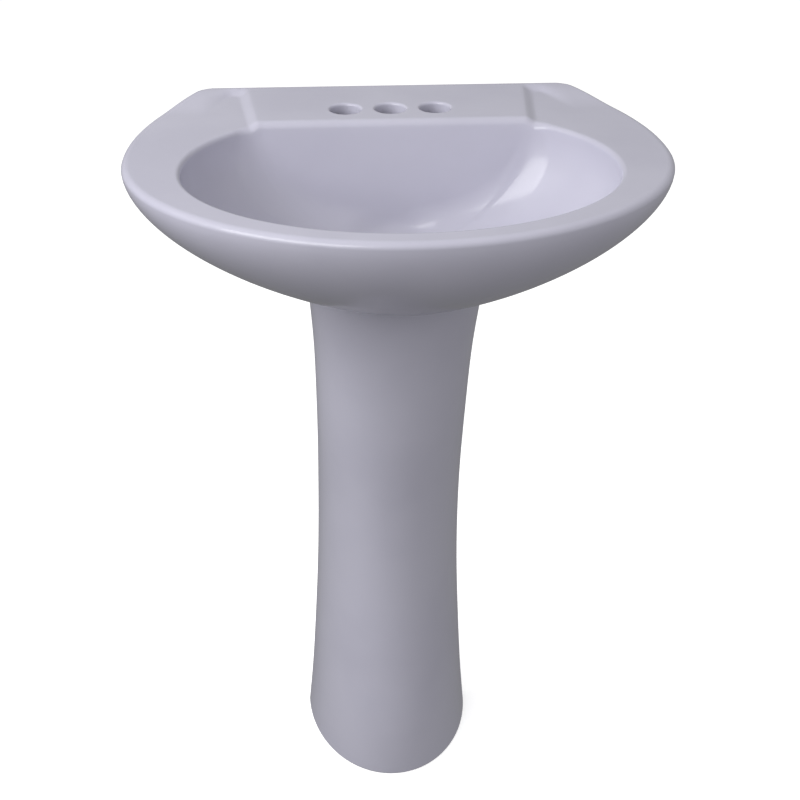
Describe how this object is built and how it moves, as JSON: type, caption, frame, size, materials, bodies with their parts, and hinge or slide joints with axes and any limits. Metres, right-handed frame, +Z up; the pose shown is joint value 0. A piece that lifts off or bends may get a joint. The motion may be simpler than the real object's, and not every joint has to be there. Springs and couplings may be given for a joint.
{
  "type": "pedestal sink",
  "caption": "Pedestal wash basin with raised faucet deck, oval bowl, push-push plug and a tube trap inside an open-backed column.",
  "frame": {"origin": "floor, under the middle of the bounding box", "axes": "+X to the right of a person facing the sink, +Y to the wall, +Z up"},
  "size_m": [0.584, 0.455, 0.864],
  "materials": {
    "china": "glossy glaze, pale lavender grey",
    "chrome_plate": "polished chrome plate",
    "steel_rod": "turned stainless",
    "spring_steel": "drawn wire",
    "raw_brass": "machined",
    "black_rubber": "moulded, matt",
    "grey_foam": "closed-cell foam",
    "washer_plastic": "satin nylon",
    "cartridge_plastic": "satin acetal"
  },
  "bodies": {
    "sink": {"basin": "china", "pedestal": "china", "waste_body": "chrome_plate", "click_cartridge": "cartridge_plastic", "stopper_spring": "spring_steel", "flange_gasket": "grey_foam", "boss_gasket": "black_rubber", "friction_washer": "washer_plastic", "waste_locknut": "raw_brass", "tailpiece": "chrome_plate", "trap_inlet_nut": "chrome_plate", "trap_inlet_washer": "washer_plastic", "trap_bend": "chrome_plate", "trap_outlet_nut": "chrome_plate", "trap_outlet_washer": "washer_plastic", "trap_arm": "chrome_plate", "cleanout_plug": "raw_brass", "cleanout_washer": "black_rubber", "wall_escutcheon": "chrome_plate"},
    "stopper": {"stopper_cap": "chrome_plate", "stopper_seal": "black_rubber", "stopper_stem": "steel_rod"}
  },
  "joints": [
    {"name": "stopper_slide", "type": "slide", "parent": "sink", "child": "stopper", "axis": [0, 0, 1], "range_m": [0, 0.009], "deforming": ["stopper_spring"]}
  ]
}
